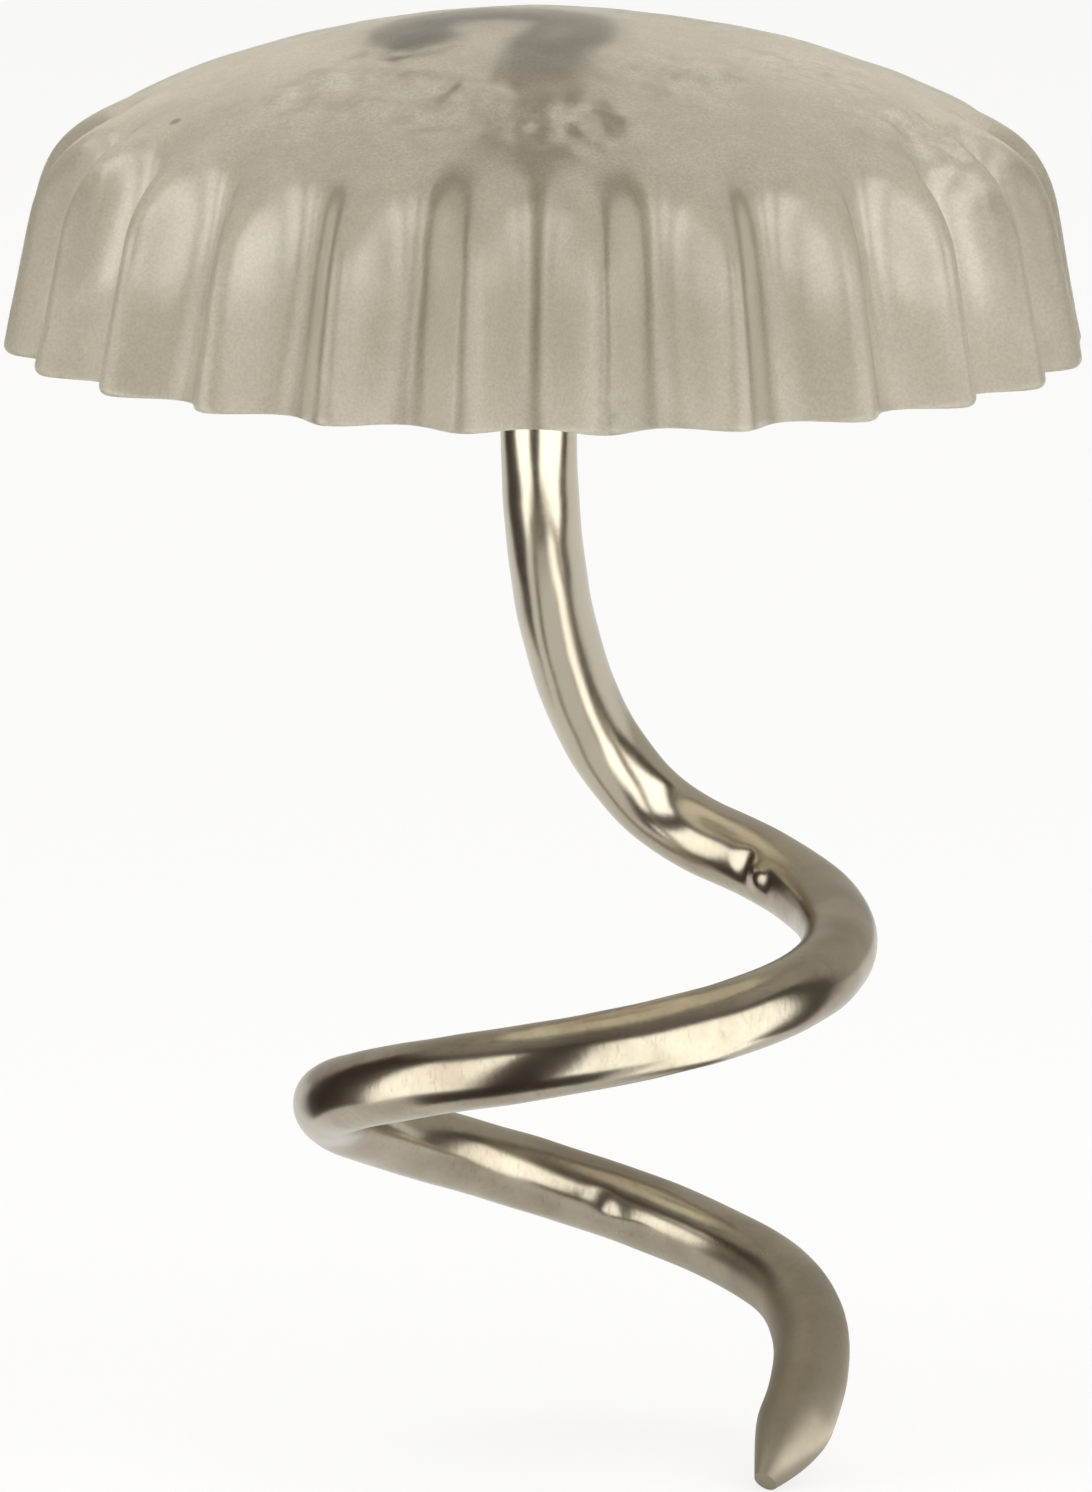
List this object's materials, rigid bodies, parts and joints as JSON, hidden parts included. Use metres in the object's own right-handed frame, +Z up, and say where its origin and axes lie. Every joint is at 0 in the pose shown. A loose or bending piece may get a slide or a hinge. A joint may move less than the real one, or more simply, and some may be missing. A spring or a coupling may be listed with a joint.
{
  "type": "upholstery twist pin",
  "caption": "Small pin with a fluted frosted clear plastic head moulded on a right-hand twist of plated wire, turned into furniture covers to hold them in place.",
  "frame": {"origin": "centre of the head's flat underside, where the stem enters the cloth", "axes": "+Z up along the head's axis, away from the cloth; the wire drops along -Z; -Y is the side that the picture shows"},
  "size_m": [0.013, 0.013, 0.0176],
  "materials": {
    "frosted_plastic": "clear polystyrene with a milky, slightly frosted moulded surface",
    "nickel_plate": "nickel-plated steel wire with faint drawn lines"
  },
  "bodies": {
    "root": {"fluted_head": "frosted_plastic", "twist_wire": "nickel_plate"}
  },
  "joints": []
}
